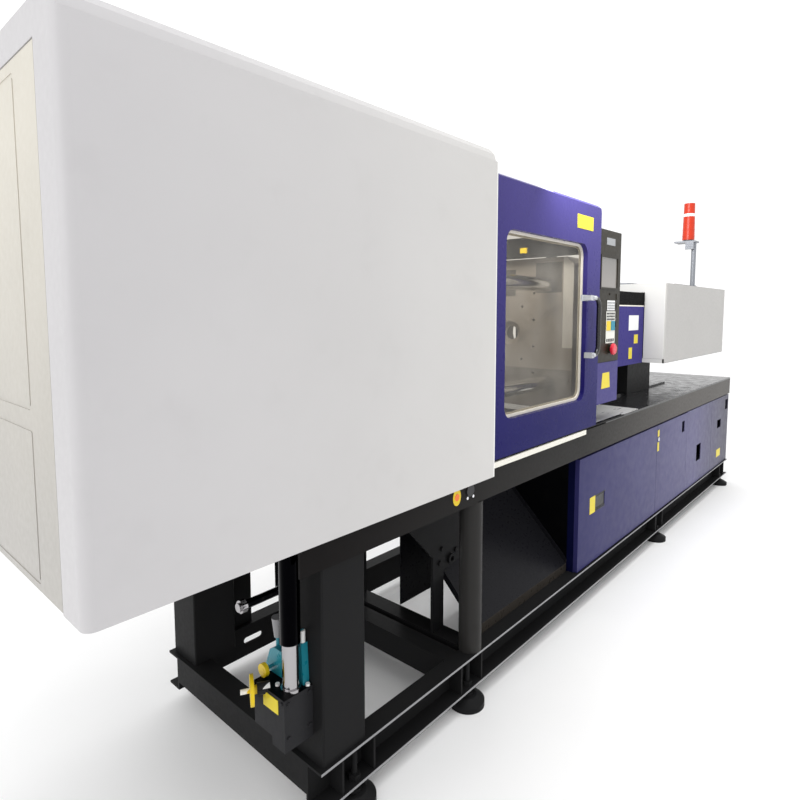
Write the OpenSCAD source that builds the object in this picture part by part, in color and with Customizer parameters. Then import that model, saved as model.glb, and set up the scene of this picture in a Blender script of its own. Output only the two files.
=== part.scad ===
// Injection moulding machine with a five point toggle clamp, in millimetres, Z up.
// X runs from the clamp end to the injection end. The operator stands on the -Y side.
// The origin lies on the floor, in the middle of the footprint.

/* [Bed] */
// Length from the end face of the clamp cover to the right end of the bed
machine_l = 5300; // [5290:5:5330]
// Width across the two main beams
bed_w = 902; // [898:2:908]
// Height of the table top above the floor
table_z = 937; // [934:1:940]
// Height of the top of the lower rails above the floor
rail_z = 200; // [198:1:204]
// Height of the main beams
beam_h = 129; // [125:1:132]
// Diameter of the round support columns
column_d = 90; // [80:1:100]
// Diameter of the levelling foot pads
foot_d = 138; // [120:1:140]

/* [Clamp cover and doors] */
// Length of the clamp cover
cover_l = 1432; // [1425:1:1434]
// Width of the clamp cover
cover_w = 970; // [968:1:980]
// Height of the top of the clamp cover above the floor
cover_z = 2100; // [2090:1:2115]
// Thickness of the sheet metal
sheet_t = 4; // [3:0.5:5]
// Thickness of the sliding doors
door_t = 35; // [32:1:35]
// Width of the window opening in a sliding door
window_w = 721; // [700:1:725]
// Height of the window opening in a sliding door
window_h = 740; // [720:1:750]
// Corner radius of the window opening
window_r = 55; // [45:1:65]

/* [Clamp unit] */
// Width of the platens
platen_w = 720; // [710:1:730]
// Height of the platens
platen_h = 780; // [770:2:790]
// Diameter of the tie bars
tie_bar_d = 70; // [60:1:80]
// Distance between the tie bars across the machine
tie_span_y = 460; // [450:2:470]
// Distance between the tie bars in height
tie_span_z = 500; // [490:2:510]
// Length of a toggle link between its pins
link_l = 400; // [395:1:405]
// Diameter of the toggle pins
pin_d = 50; // [46:1:54]
// Running clearance on the radius of every turning or sliding fit
run_gap = 0.05; // [0.03:0.01:0.08]

/* [Injection unit] */
// Length of the injection cover
unit_l = 1585; // [1560:5:1586]
// Width of the injection cover
unit_w = 760; // [750:2:770]
// Height of the injection cover
unit_h = 543; // [535:1:550]
// Outside diameter of the barrel
barrel_d = 130; // [120:1:140]
// Diameter of the screw
screw_d = 50; // [45:1:55]
// Diameter of the tower lamp
lamp_d = 87; // [70:1:90]

/* [Control box] */
// Width of the control box
box_w = 321; // [310:1:340]
// Height of the top of the control box above the floor
box_z = 1930; // [1915:1:1945]
// Diameter of the emergency stop button
stop_d = 60; // [50:1:64]

/* [Hidden] */
$fn = 64;

// Bed
half_bed = bed_w / 2;
beam_x = 540;
beam_w = 100;
beam_in = half_bed - beam_w;
beam_wall = 8;
table_t = 12;
beam_top = table_z - table_t;
beam_bottom = beam_top - beam_h;
table_x = 2560;
rail_x = 600;
rail_h = 130;
rail_out = 455;
rail_in = 385;
rail_web = 8;
rail_bottom = rail_z - rail_h;
cross_h = 100;
foot_x = [754, 1350, 3500, machine_l - 150];
foot_y = 425;
stud_d = 20;
leg_x = 618;
leg_l = 168;
leg_w = 160;
leg_y = 445;
column_x = 1390;
column_y = 410;
chute_x1 = column_x + 65;
chute_x2 = 2260;
chute_t = 5;

// Cabinet
cab_x = 2266;
cab_y = 445;
cab_z1 = rail_z;
cab_z2 = beam_bottom - 10;
door_pan_t = 22;
wide_x = 3417;
narrow_x = 4067;
panel_x = 4748;
pan_gap = 2;
latch_x = 2470;
latch_z = 474;
latch_l = 120;
latch_h = 76;
latch_pin = 6;
lock_x = 3440;
lock_z = 690;
tank_x = 2700;
tank_l = 1180;
tank_w = 560;
tank_z = 590;
filler_x = 300;
filler_y = -120;
filter_x = 800;
pump_gap = 280;
motor_x = tank_x + tank_l + pump_gap;
motor_l = 460;
motor_z = 430;
motor_d = 270;

// Clamp cover and doors
half_cover = cover_w / 2;
cover_bottom = 890;
ridge_z = cover_z - 48;
corner_r = 25;
end_half = 370;
door_y = 470;
door_x1 = 1372;
door_x2 = 2389;
track_h = 8;
door_z1 = table_z + track_h;
door_z2 = 2026;
window_x = 1520;
window_z = 1090;
door_back = door_y - door_t;
seal_w = 12;
header_y = 430;
header_z1 = 1960;
header_z2 = 2015;
grip_x = 2306;
grip_y = 504;
grip_z1 = 1350;
grip_z2 = 1534;
grip_r = 44;
grip_d = 22;
track_x1 = 672;
track_x2 = 2781;
track_y1 = 463;
track_y2 = 445;

// Clamp unit
axis_z = 1400;
platen_z1 = axis_z - platen_h / 2;
platen_z2 = axis_z + platen_h / 2;
half_platen = platen_w / 2;
fixed_x = 2330;
fixed_t = 210;
rear_x = 640;
rear_t = 180;
pivot_z = 90;
pivot_x = rear_x + rear_t + 60;
knee_angle = 56.6;
link_r = 45;
knee_x = pivot_x + link_l * cos(knee_angle);
knee_z = pivot_z + link_l * sin(knee_angle);
joint_x = pivot_x + 2 * link_l * cos(knee_angle);
drive_l = 160;
drive_x = pivot_x + drive_l * cos(knee_angle);
drive_z = pivot_z + drive_l * sin(knee_angle);
head_x = pivot_x + 2 * drive_l * cos(knee_angle);
drive_pin = 36;
drive_r = 30;
moving_x = joint_x + 50;
moving_t = 190;
foot_half = 340;
guide_y = 175;
guide_d = 40;
rod_d = 60;
ejector_d = 30;

// Injection unit
unit_x = 3705;
unit_y = unit_w / 2;
unit_z = 1165;
unit_top = unit_z + unit_h;
guard_x = 2760;
guard_l = 940;
guard_y = 233;
guard_z1 = 1161;
band_z = 1549;
guard_z2 = 1645;
stand_x = 3600;
stand_l = 447;
stand_y = 172;
way_y = 120;
way_w = 30;
way_h = 12;
throat_x = 3850;
throat_d = 80;
feed_d = 50;
hopper_half = 90;
housing_z = axis_z + 150;
band_r = barrel_d / 2 + 13;
barrel_x = 2700;
barrel_end = 3990;
nozzle_x = barrel_x - 280;
nozzle_d = 52;
core_d = 0.62 * screw_d;
spindle_x = 4250;
spindle_l = 350;
shaft_y = 135;
shaft_end = 4880;
shaft_d = 36;
post_x = 4390;
post_y = 352;
lamp_x = 4430;
lamp_y = 299;
lamp_z1 = 2053;
lamp_z2 = 2343;

// Control box
box_x = 2391;
box_y = 445;
box_back = 372;
box_bottom = 1034;
box_split = 1251;
panel_t = 4;
stop_x = box_x + 210;
stop_z = box_split + 66;
screen_x = box_x + 68;
screen_z = box_split + 387;
screen_w = 205;
screen_h = 154;
pad_x = box_x + 144;
pad_z = box_split + 98;
pad_w = 118;
key_x = [pad_x + 6, pad_x + 62];
key_z = pad_z + 66;
key_w = 50;
key_h = 50;
key_gap = 0.5;

// Lubrication unit
lube_x = 518;
lube_z1 = 283;
lube_z2 = 438;
tube_x = 565;
tube_y = 368;
tube_d = 49;
sleeve_z = 580;
knob_x = 492;
knob_y = 282;
knob_z = 432;
knob_turn = 30;

// Machine coordinates start at the end face of the clamp cover
module placed() {
    translate([-machine_l / 2, 0, 0]) children();
}

// The same thing on the operator side and on the rear side
module both_sides() {
    children();
    mirror([0, 1, 0]) children();
}

// A box between two opposite corners
module slab(a, b) {
    translate(a) cube(b - a);
}

// A round bar along X
module bar_x(x1, x2, y, z, d) {
    translate([x1, y, z]) rotate([0, 90, 0]) cylinder(d = d, h = x2 - x1);
}

// A round bar along Y
module bar_y(y1, y2, x, z, d) {
    translate([x, y1, z]) rotate([-90, 0, 0]) cylinder(d = d, h = y2 - y1);
}

// A round bar along Z
module bar_z(z1, z2, x, y, d) {
    translate([x, y, z1]) cylinder(d = d, h = z2 - z1);
}

// A flat outline in X and Z, made solid from y1 to y2
module front_plate(y1, y2) {
    translate([0, y2, 0]) rotate([90, 0, 0]) linear_extrude(y2 - y1) children();
}

// A flat outline in Y and Z, made solid from x1 to x2
module end_plate(x1, x2) {
    translate([x1, 0, 0]) rotate([90, 0, 90]) linear_extrude(x2 - x1) children();
}

// A rectangle with round corners between two opposite corners
module round_rect(a, b, r) {
    translate([a[0], a[1] + r]) square([b[0] - a[0], b[1] - a[1] - 2 * r]);
    translate([a[0] + r, a[1]]) square([b[0] - a[0] - 2 * r, b[1] - a[1]]);
    for (u = [a[0] + r, b[0] - r], v = [a[1] + r, b[1] - r]) translate([u, v]) circle(r);
}

// A slot with round ends along X
module slot(x, z, l, d) {
    for (u = [x - l / 2 + d / 2, x + l / 2 - d / 2]) translate([u, z]) circle(d = d);
    translate([x - l / 2 + d / 2, z - d / 2]) square([l - d, d]);
}

// The channel rail on the operator side, its open side facing out
module rail() {
    difference() {
        slab([rail_x, -rail_out, rail_bottom], [machine_l, -rail_in, rail_z]);
        slab([rail_x - 1, -rail_out - 1, rail_bottom + rail_web],
            [machine_l + 1, -rail_in - rail_web, rail_z - rail_web]);
        front_plate(-rail_in - rail_web - 1, -rail_in + 1)
            for (x = [rail_x + 330 : 560 : machine_l - 200]) slot(x, rail_z - rail_h / 2, 90, 26);
        for (x = foot_x) bar_z(rail_bottom - 1, rail_bottom + rail_web + 1, x, -foot_y, stud_d + 3);
    }
    // Stiffening plates next to the feet
    for (x = foot_x, s = [-70, 62]) slab([x + s, -rail_out + 6, rail_bottom + rail_web - 1],
        [x + s + 8, -rail_in - rail_web + 1, rail_z - rail_web + 1]);
}

module base_frame() placed() color([0.06, 0.06, 0.06]) {
    both_sides() rail();
    for (x = [rail_x, 1260, 1370, 2186, 3460, machine_l - 80])
        slab([x, -rail_in - 1, rail_z - cross_h], [x + 80, rail_in + 1, rail_z]);
}

// The main beam on the operator side, an open box section
module beam() {
    difference() {
        slab([beam_x, -half_bed, beam_bottom], [machine_l, -beam_in, beam_top]);
        slab([beam_x - 1, -half_bed + beam_wall, beam_bottom + beam_wall],
            [machine_l - beam_wall, -beam_in - beam_wall, beam_top - beam_wall]);
        // The left end is cut back around the lubrication tube
        slab([beam_x - 1, -half_bed + beam_wall, beam_bottom - 1],
            [leg_x - 6, -beam_in + 1, beam_top - beam_wall]);
    }
}

module upper_frame() placed() color([0.1, 0.1, 0.1]) {
    both_sides() beam();
    for (x = [leg_x, 900, 1237, 3560, machine_l - 100])
        slab([x, -beam_in - 1, beam_bottom], [x + 100, beam_in + 1, beam_top]);
    // The broad cross beam below the fixed platen
    slab([fixed_x - 30, -beam_in - 1, beam_bottom], [table_x, beam_in + 1, beam_top]);
    // The valve housing hung below the second cross beam
    slab([860, -120, 450], [1100, 120, beam_bottom + 1]);
}

// A square leg with rounded edges and end plates
module leg() {
    difference() {
        translate([0, 0, rail_z]) linear_extrude(beam_bottom - rail_z)
            round_rect([leg_x, -leg_y], [leg_x + leg_l, leg_w - leg_y], 6);
        translate([0, 0, rail_z + 10]) linear_extrude(beam_bottom - rail_z - 20)
            round_rect([leg_x + 8, 8 - leg_y], [leg_x + leg_l - 8, leg_w - leg_y - 8], 2);
    }
}

module left_legs() placed() color([0.08, 0.08, 0.08]) {
    both_sides() leg();
    // Side plate welded to the rear leg, and the round boss on its outer face
    slab([leg_x + leg_l - 1, leg_y - 36, rail_z], [leg_x + leg_l + 153, leg_y - 30, beam_bottom]);
    bar_x(leg_x - 18, leg_x + 1, leg_y - leg_w / 2, 480, 60);
}

module support_columns() placed() color([0.25, 0.24, 0.24]) both_sides() {
    bar_z(rail_z, beam_bottom, column_x, -column_y, column_d);
}

// The outline of an inner support plate, broad at its head
module support_outline() {
    polygon([[1374, rail_z], [1374, 517], [1237, 662], [1237, beam_bottom], [1640, beam_bottom],
        [1560, 640], [1560, 458], [1445, 442], [1445, rail_z]]);
}

module inner_supports() placed() color([0.07, 0.07, 0.07]) both_sides() {
    difference() {
        front_plate(-235, -223) support_outline();
        bar_y(-236, -222, 1490, 480, 22);
    }
    // Bolt heads and the ring
    for (p = [[1432, 536], [1528, 505], [1418, 480]]) bar_y(-243, -234, p[0], p[1], 22);
    difference() {
        bar_y(-247, -234, 1490, 480, 44);
        bar_y(-248, -222, 1490, 480, 22);
    }
}

module discharge_chute() placed() color([0.09, 0.09, 0.1]) {
    // Front lip, slope and back panel bent from one sheet
    end_plate(chute_x1, chute_x2) polygon([[-390, rail_z], [-390, 242], [10, 642], [20, 642], [20, rail_z],
        [15, rail_z], [15, 639.9], [-385, 239.9], [-385, rail_z]]);
    // Raised side edges
    for (x = [chute_x1, chute_x2 - chute_t]) end_plate(x, x + chute_t)
        polygon([[-390, 241], [-390, 262], [-382, 278], [0, 660], [16, 660], [16, 639], [-384, 240]]);
}

module leveling_feet() placed() color([0.12, 0.12, 0.12]) both_sides() {
    for (x = foot_x) translate([x, -foot_y, 0]) {
        cylinder(d = foot_d, h = 22);
        translate([0, 0, 22]) cylinder(d1 = foot_d, d2 = 0.55 * foot_d, h = 18);
        translate([0, 0, 39]) cylinder(d = 44, h = 12);
        translate([0, 0, 40]) cylinder(d = stud_d, h = rail_bottom + 60);
        translate([0, 0, rail_bottom - 18]) cylinder(d = 42, h = 18, $fn = 6);
        translate([0, 0, rail_bottom + rail_web]) cylinder(d = 42, h = 16, $fn = 6);
    }
}

module table_top() placed() color([0.13, 0.13, 0.14]) {
    slab([table_x, -half_bed, beam_top], [machine_l, half_bed, table_z]);
    // Guide ways of the injection carriage
    both_sides() slab([3250, -way_y - way_w, table_z - 1], [4480, -way_y, table_z + way_h]);
}

module table_plate() placed() color([0.85, 0.85, 0.83]) difference() {
    slab([2400, -track_y2 + 1, table_z], [3050, -195, table_z + 3]);
    slab([2399, -half_platen - 6, table_z - 1], [fixed_x + fixed_t + 10, -194, table_z + 4]);
}

// The hollow body of the cabinet, from the left side to the right end
module cabinet_body() {
    difference() {
        union() {
            slab([cab_x, -cab_y + door_pan_t, cab_z1], [machine_l, cab_y, cab_z2]);
            slab([narrow_x, -cab_y, cab_z1], [machine_l, -cab_y + door_pan_t + 3, cab_z2]);
        }
        slab([cab_x + sheet_t, -cab_y + door_pan_t + sheet_t, cab_z1 + sheet_t],
            [machine_l - sheet_t, cab_y - sheet_t, cab_z2 - sheet_t]);
        slab([narrow_x + sheet_t, -cab_y + sheet_t, cab_z1 + sheet_t],
            [machine_l - sheet_t, -cab_y + door_pan_t + 8, cab_z2 - sheet_t]);
    }
}

module cabinet_shell() placed() color([0.16, 0.14, 0.38]) difference() {
    cabinet_body();
    // Door openings
    slab([cab_x + 34, -cab_y, cab_z1 + 34], [wide_x - 17, -cab_y + 40, cab_z2 - 34]);
    slab([wide_x + 17, -cab_y, cab_z1 + 34], [narrow_x - 17, -cab_y + 40, cab_z2 - 34]);
    // Cut-outs for cables in the fixed panels
    for (c = [[panel_x - 408, 363, 119, 129], [panel_x + 192, 529, 122, 69], [panel_x + 442, 660, 92, 87]])
        slab([c[0], -cab_y - 1, c[1]], [c[0] + c[2], -cab_y + sheet_t + 1, c[1] + c[3]]);
    // Seams between the panels, front and rear
    slab([panel_x, -cab_y - 1, cab_z1 - 1], [panel_x + 4, -cab_y + 2, cab_z2 + 1]);
    for (x = [wide_x, narrow_x, panel_x])
        slab([x, cab_y - 2, cab_z1 - 1], [x + 4, cab_y + 1, cab_z2 + 1]);
    // Ventilation slots in the rear and in the right end
    front_plate(cab_y - sheet_t - 1, cab_y + 1)
        for (x = [2500, 3100], k = [0 : 7]) slot(x + 90, 330 + 40 * k, 180, 14);
    end_plate(machine_l - sheet_t - 1, machine_l + 1)
        for (y = [-200, 200], k = [0 : 7]) slot(y, 330 + 40 * k, 180, 14);
}

// A door folded from sheet, open at the back
module door_pan(x1, x2) {
    difference() {
        slab([x1, -cab_y, cab_z1 + 4], [x2, -cab_y + door_pan_t, cab_z2 - 4]);
        slab([x1 + sheet_t, -cab_y + sheet_t, cab_z1 + 4 + sheet_t],
            [x2 - sheet_t, -cab_y + door_pan_t + 1, cab_z2 - 4 - sheet_t]);
    }
}

module cabinet_door_wide() placed() color([0.36, 0.34, 0.55]) difference() {
    union() {
        door_pan(cab_x + pan_gap, wide_x - pan_gap);
        slab([latch_x - 4, -cab_y + 1, latch_z - 4],
            [latch_x + latch_l + 4, -cab_y + 19, latch_z + latch_h + 4]);
    }
    // Recess behind the latch and the bores for its pin
    slab([latch_x, -cab_y - 1, latch_z], [latch_x + latch_l, -cab_y + 16, latch_z + latch_h]);
    bar_x(latch_x - 5, latch_x + latch_l + 5, -cab_y + 5, latch_z + latch_h - 7, latch_pin + 2 * run_gap);
}

module door_latch() placed() color([0.75, 0.76, 0.78]) {
    slab([latch_x + 2, -cab_y + 3, latch_z + 2], [latch_x + latch_l - 2, -cab_y + 7, latch_z + latch_h - 4]);
    bar_x(latch_x - 3.5, latch_x + latch_l + 3.5, -cab_y + 5, latch_z + latch_h - 7, latch_pin);
    // Finger edge
    slab([latch_x + 2, -cab_y, latch_z + 2], [latch_x + latch_l - 2, -cab_y + 4, latch_z + 7]);
}

module cabinet_door_narrow() placed() color([0.36, 0.34, 0.55]) difference() {
    door_pan(wide_x + pan_gap, narrow_x - pan_gap);
    bar_y(-cab_y - 1, -cab_y + sheet_t + 1, lock_x, lock_z, 18 + 2 * run_gap);
    slab([narrow_x - 121, -cab_y - 1, 653], [narrow_x - 60, -cab_y + sheet_t + 1, 732]);
}

module cabinet_lock() placed() color([0.7, 0.7, 0.72]) {
    difference() {
        bar_y(-cab_y - 4, -cab_y, lock_x, lock_z, 26);
        slab([lock_x - 1, -cab_y - 5, lock_z - 6], [lock_x + 1, -cab_y - 1, lock_z + 6]);
    }
    bar_y(-cab_y - 1, -cab_y + 12, lock_x, lock_z, 18);
    // Locking cam
    slab([lock_x - 7, -cab_y + 9, lock_z - 7], [lock_x + 7, -cab_y + 12, lock_z + 14]);
}

module oil_tank() placed() color([0.3, 0.32, 0.34]) {
    slab([tank_x, -tank_w / 2, cab_z1 + sheet_t], [tank_x + tank_l, tank_w / 2, tank_z]);
    slab([tank_x + 60, -tank_w / 2 + 50, tank_z - 1], [tank_x + tank_l - 60, tank_w / 2 - 50, tank_z + 10]);
    // Filler neck with its cap, and the return filter
    bar_z(tank_z + 9, tank_z + 50, tank_x + filler_x, filler_y, 90);
    bar_z(tank_z + 49, tank_z + 62, tank_x + filler_x, filler_y, 110);
    bar_z(tank_z + 9, tank_z + 30, tank_x + filter_x, 0, 160);
}

module pump_motor() placed() color([0.22, 0.3, 0.4]) {
    bar_x(motor_x, motor_x + motor_l, 0, motor_z, motor_d);
    for (x = [motor_x + 40 : 40 : motor_x + motor_l - 60]) bar_x(x, x + 8, 0, motor_z, motor_d + 20);
    // Fan hood, coupling housing and pump
    bar_x(motor_x + motor_l, motor_x + motor_l + 60, 0, motor_z, motor_d - 40);
    bar_x(motor_x - 100, motor_x + 1, 0, motor_z, motor_d - 70);
    bar_x(motor_x - 220, motor_x - 99, 0, motor_z, motor_d - 130);
    // Terminal box and feet
    slab([motor_x + 160, -60, motor_z + motor_d / 2 - 5], [motor_x + 300, 60, motor_z + motor_d / 2 + 55]);
    for (x = [motor_x + 60, motor_x + motor_l - 120])
        slab([x, -150, cab_z1 + sheet_t], [x + 60, 150, motor_z - 100]);
}

// The outline of the clamp cover seen from above, its left corners softly rounded
module cover_plan(inset) {
    r = corner_r - inset;
    translate([corner_r, -half_cover + inset]) square([cover_l - corner_r, cover_w - 2 * inset]);
    translate([inset, -half_cover + corner_r]) square([corner_r, cover_w - 2 * corner_r]);
    for (s = [-1, 1]) translate([corner_r, s * (half_cover - corner_r)]) circle(r);
}

// The outline of the clamp cover seen from its end: a ridge, then a crowned slope to the flat top
module cover_end(w, z, d) {
    polygon([[-w, cover_bottom - d], [-w, ridge_z - z], [-w + 6, ridge_z - z], [-w + 15, cover_z - z - 20],
        [-w + 33, cover_z - z], [w - 33, cover_z - z], [w - 15, cover_z - z - 20], [w - 6, ridge_z - z],
        [w, ridge_z - z], [w, cover_bottom - d]]);
}

module clamp_cover() placed() color([0.8, 0.8, 0.81]) {
    difference() {
        intersection() {
            translate([0, 0, cover_bottom]) linear_extrude(cover_z - cover_bottom) cover_plan(0);
            end_plate(-1, cover_l) cover_end(half_cover, 0, 1);
        }
        intersection() {
            translate([0, 0, cover_bottom - 1]) linear_extrude(cover_z) cover_plan(sheet_t);
            end_plate(0, cover_l - sheet_t) cover_end(half_cover - sheet_t, sheet_t, 2);
        }
        // The open right end behind a narrow return edge
        end_plate(cover_l - 20, cover_l + 1) cover_end(half_cover - 11, 12, 2);
        // The opening of the end face
        slab([-1, -end_half, cover_bottom - 1], [sheet_t + 1, end_half, cover_z - 72]);
    }
    // Angles that carry the cover on the main beams
    both_sides() slab([560, -half_cover + sheet_t - 1, 900], [cover_l - 6, -half_bed, table_z]);
}

// A shallow pressed frame line in the end face
module frame_line(y1, y2, z1, z2) {
    end_plate(-1, 2) difference() {
        round_rect([y1, z1], [y2, z2], 14);
        round_rect([y1 + 9, z1 + 9], [y2 - 9, z2 - 9], 6);
    }
}

module end_panels() placed() color([0.86, 0.84, 0.78]) difference() {
    union() {
        slab([0.5, -end_half + 3, cover_bottom + 4], [sheet_t + 1, end_half - 3, cover_z - 76]);
        slab([sheet_t, -end_half - 20, cover_bottom + 4], [sheet_t + 3, end_half + 20, cover_z - 56]);
    }
    // Upper and lower panel
    frame_line(-235, end_half - 20, 1300, cover_z - 100);
    frame_line(-235, end_half - 20, cover_bottom + 20, 1262);
}

// A sliding door: folded edge, open back, window opening with a deep reveal
module door_leaf() {
    difference() {
        front_plate(-door_y, -door_back) union() {
            translate([door_x1, door_z1]) square([door_x2 - door_x1 - 35, door_z2 - door_z1]);
            translate([door_x1, door_z1]) square([door_x2 - door_x1, door_z2 - door_z1 - 35]);
            translate([door_x2 - 35, door_z2 - 35]) circle(35);
        }
        // The hollow behind the front sheet, around the window frame
        front_plate(-door_y + sheet_t, -door_back + 1) difference() {
            translate([door_x1 + 22, door_z1 + 22])
                square([door_x2 - door_x1 - 60, door_z2 - door_z1 - 60]);
            round_rect([window_x - 24, window_z - 24],
                [window_x + window_w + 24, window_z + window_h + 24], window_r + 24);
        }
        front_plate(-door_y - 1, -door_back + 1) round_rect([window_x, window_z],
            [window_x + window_w, window_z + window_h], window_r);
        // Chamfer along the top edge
        translate([door_x1 - 1, -door_y, door_z2]) rotate([45, 0, 0])
            translate([0, -8, -8]) cube([door_x2 - door_x1 + 2, 16, 16]);
    }
}

// A flat ring inside the window opening, from one inset to another
module window_ring(outer, inner) {
    difference() {
        round_rect([window_x + outer, window_z + outer],
            [window_x + window_w - outer, window_z + window_h - outer], window_r - outer);
        round_rect([window_x + inner, window_z + inner],
            [window_x + window_w - inner, window_z + window_h - inner], window_r - inner);
    }
}

module front_door() placed() color([0.29, 0.26, 0.56]) door_leaf();

module rear_door() placed() color([0.29, 0.26, 0.56]) mirror([0, 1, 0]) door_leaf();

module front_seal() placed() color([0.93, 0.91, 0.84]) {
    front_plate(-door_back - 13, -door_back) window_ring(0.3, seal_w);
    front_plate(-door_back, -door_back + 2) window_ring(-8, seal_w + 6);
}

module front_window() placed() color([0.75, 0.8, 0.8, 0.35]) {
    front_plate(-door_back - 6, -door_back) round_rect([window_x + seal_w + 0.3, window_z + seal_w + 0.3],
        [window_x + window_w - seal_w - 0.3, window_z + window_h - seal_w - 0.3], window_r - seal_w - 0.3);
}

// The rear pane is held by its own moulded edge
module rear_window() placed() color([0.75, 0.8, 0.8, 0.35]) mirror([0, 1, 0]) {
    front_plate(-door_back - 6, -door_back + 0.5) round_rect([window_x + 0.3, window_z + 0.3],
        [window_x + window_w - 0.3, window_z + window_h - 0.3], window_r - 0.3);
    front_plate(-door_back, -door_back + 3) round_rect([window_x - 8, window_z - 8],
        [window_x + window_w + 8, window_z + window_h + 8], window_r + 8);
}

// A quarter bend of the grip, in a plane parallel to the door
module grip_bend(z, turn) {
    translate([grip_x - grip_r, -grip_y, z]) rotate([90, 0, 0]) rotate(turn)
        rotate_extrude(angle = 90) translate([grip_r, 0]) circle(d = grip_d);
}

// The arched grip of a door on its two mounting blocks
module arched_handle() {
    bar_z(grip_z1, grip_z2, grip_x, -grip_y, grip_d);
    grip_bend(grip_z2, 0);
    grip_bend(grip_z1, 270);
    bar_x(grip_x - 78, grip_x - grip_r, -grip_y, grip_z2 + grip_r, grip_d);
    bar_x(grip_x - 66, grip_x - grip_r, -grip_y, grip_z1 - grip_r, grip_d);
    slab([grip_x - 110, -grip_y - 6, grip_z2 + grip_r - 12], [grip_x - 70, -door_y - 3, grip_z2 + grip_r + 12]);
    slab([grip_x - 130, -door_y - 4, grip_z2 + grip_r - 14], [grip_x - 58, -door_y, grip_z2 + grip_r + 14]);
    slab([grip_x - 78, -grip_y - 6, grip_z1 - grip_r - 13], [grip_x - 54, -door_y, grip_z1 - grip_r + 13]);
}

module front_handle() placed() color([0.1, 0.1, 0.11]) arched_handle();

module rear_handle() placed() color([0.1, 0.1, 0.11]) mirror([0, 1, 0]) arched_handle();

module door_header() placed() color([0.2, 0.2, 0.22]) {
    both_sides() {
        difference() {
            slab([rear_x + 60, -header_y, header_z1], [door_x2, -header_y + 25, header_z2]);
            slab([rear_x + 64, -header_y + 3, header_z1 + 3], [door_x2 - 4, -header_y + 26, header_z2 - 3]);
        }
        for (x = [rear_x + 60, fixed_x + 10]) slab([x, -240, platen_z2], [x + 40, -200, header_z1 + 1]);
    }
    for (x = [rear_x + 60, door_x2 - 60])
        slab([x, -header_y + 4, header_z1], [x + 60, header_y - 4, header_z2 - 3]);
    // Cross bar above the fixed platen
    slab([fixed_x - 52, -header_y + 30, platen_z2 + 5], [fixed_x + 11, header_y - 30, platen_z2 + 105]);
}

module door_tracks() placed() color([0.05, 0.05, 0.05]) both_sides() difference() {
    slab([track_x1, -track_y1, table_z], [track_x2, -track_y2, table_z + track_h]);
    slab([track_x1 - 1, -track_y1 + 6, table_z + 3],
        [track_x2 + 1, -track_y2 - 4, table_z + track_h + 1]);
}

module door_sills() placed() color([0.86, 0.85, 0.8]) both_sides() {
    slab([cover_l + 4, -half_bed - 22, table_z - 22], [2270, -half_bed, table_z]);
}

// A platen seen from its end: bevelled corners and four tie bar bores
module platen_outline(bevel) {
    difference() {
        polygon([[-half_platen + bevel, platen_z1], [half_platen - bevel, platen_z1],
            [half_platen, platen_z1 + bevel], [half_platen, platen_z2 - bevel],
            [half_platen - bevel, platen_z2], [-half_platen + bevel, platen_z2],
            [-half_platen, platen_z2 - bevel], [-half_platen, platen_z1 + bevel]]);
        for (s = [-1, 1], v = [-1, 1])
            translate([s * tie_span_y / 2, axis_z + v * tie_span_z / 2]) circle(d = tie_bar_d + 2 * run_gap);
    }
}

// Threaded holes for mould clamps: three rectangles of four holes each
module mould_holes(x1, x2) {
    for (p = [[70, 140], [140, 70], [140, 210]], s = [-1, 1], v = [-1, 1])
        bar_x(x1, x2, s * p[0], axis_z + v * p[1], 14);
}

// Open pockets of the casting around its centre
module cast_pockets(x1, x2) {
    for (s = [-1, 1]) {
        slab([x1, s * 290 - 45, axis_z - 150], [x2, s * 290 + 45, axis_z + 150]);
        slab([x1, -90, axis_z + s * 320 - 40], [x2, 90, axis_z + s * 320 + 40]);
    }
}

module fixed_platen() placed() color([0.62, 0.64, 0.66]) {
    difference() {
        end_plate(fixed_x, fixed_x + fixed_t) platen_outline(40);
        mould_holes(fixed_x - 1, fixed_x + 35);
        // Seat of the locating ring and the cone for the nozzle
        bar_x(fixed_x - 1, fixed_x + 20, 0, axis_z, 125);
        translate([fixed_x + 19, 0, axis_z]) rotate([0, 90, 0])
            cylinder(d1 = 70, d2 = 220, h = fixed_t - 18);
        cast_pockets(fixed_x + 90, fixed_x + fixed_t + 1);
    }
    // Feet on the broad cross beam
    both_sides() slab([fixed_x, -foot_half, beam_top], [fixed_x + fixed_t, -200, platen_z1 + 1]);
}

// A pair of pivot cheeks with their pin, seen from the machine axis
module pivot_cheeks(x1, x2, x, y1, y2) {
    for (z = [-pivot_z, pivot_z]) translate([0, 0, axis_z]) {
        both_sides() front_plate(-y2, -y1) {
            translate([x, z]) circle(link_r);
            translate([x1, z - link_r]) square([x2 - x1, 2 * link_r]);
        }
        bar_y(-y2, y2, x, z, pin_d);
    }
}

module rear_platen() placed() color([0.62, 0.64, 0.66]) {
    difference() {
        end_plate(rear_x, rear_x + rear_t) platen_outline(40);
        bar_x(rear_x - 1, rear_x + rear_t + 1, 0, axis_z, rod_d + 4);
        cast_pockets(rear_x - 1, rear_x + 90);
    }
    pivot_cheeks(rear_x + rear_t - 1, pivot_x, pivot_x, 92, 122);
    both_sides() {
        slab([rear_x, -foot_half, beam_top], [rear_x + rear_t, -200, platen_z1 + 1]);
        slab([rear_x, -half_bed + 20, beam_top], [rear_x + rear_t, -foot_half + 1, beam_top + 30]);
        // Guide rod of the crosshead with its end collar
        bar_x(rear_x + rear_t - 1, rear_x + rear_t + 450, -guide_y, axis_z, guide_d);
        bar_x(rear_x + rear_t + 430, rear_x + rear_t + 450, -guide_y, axis_z, guide_d + 16);
    }
}

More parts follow.
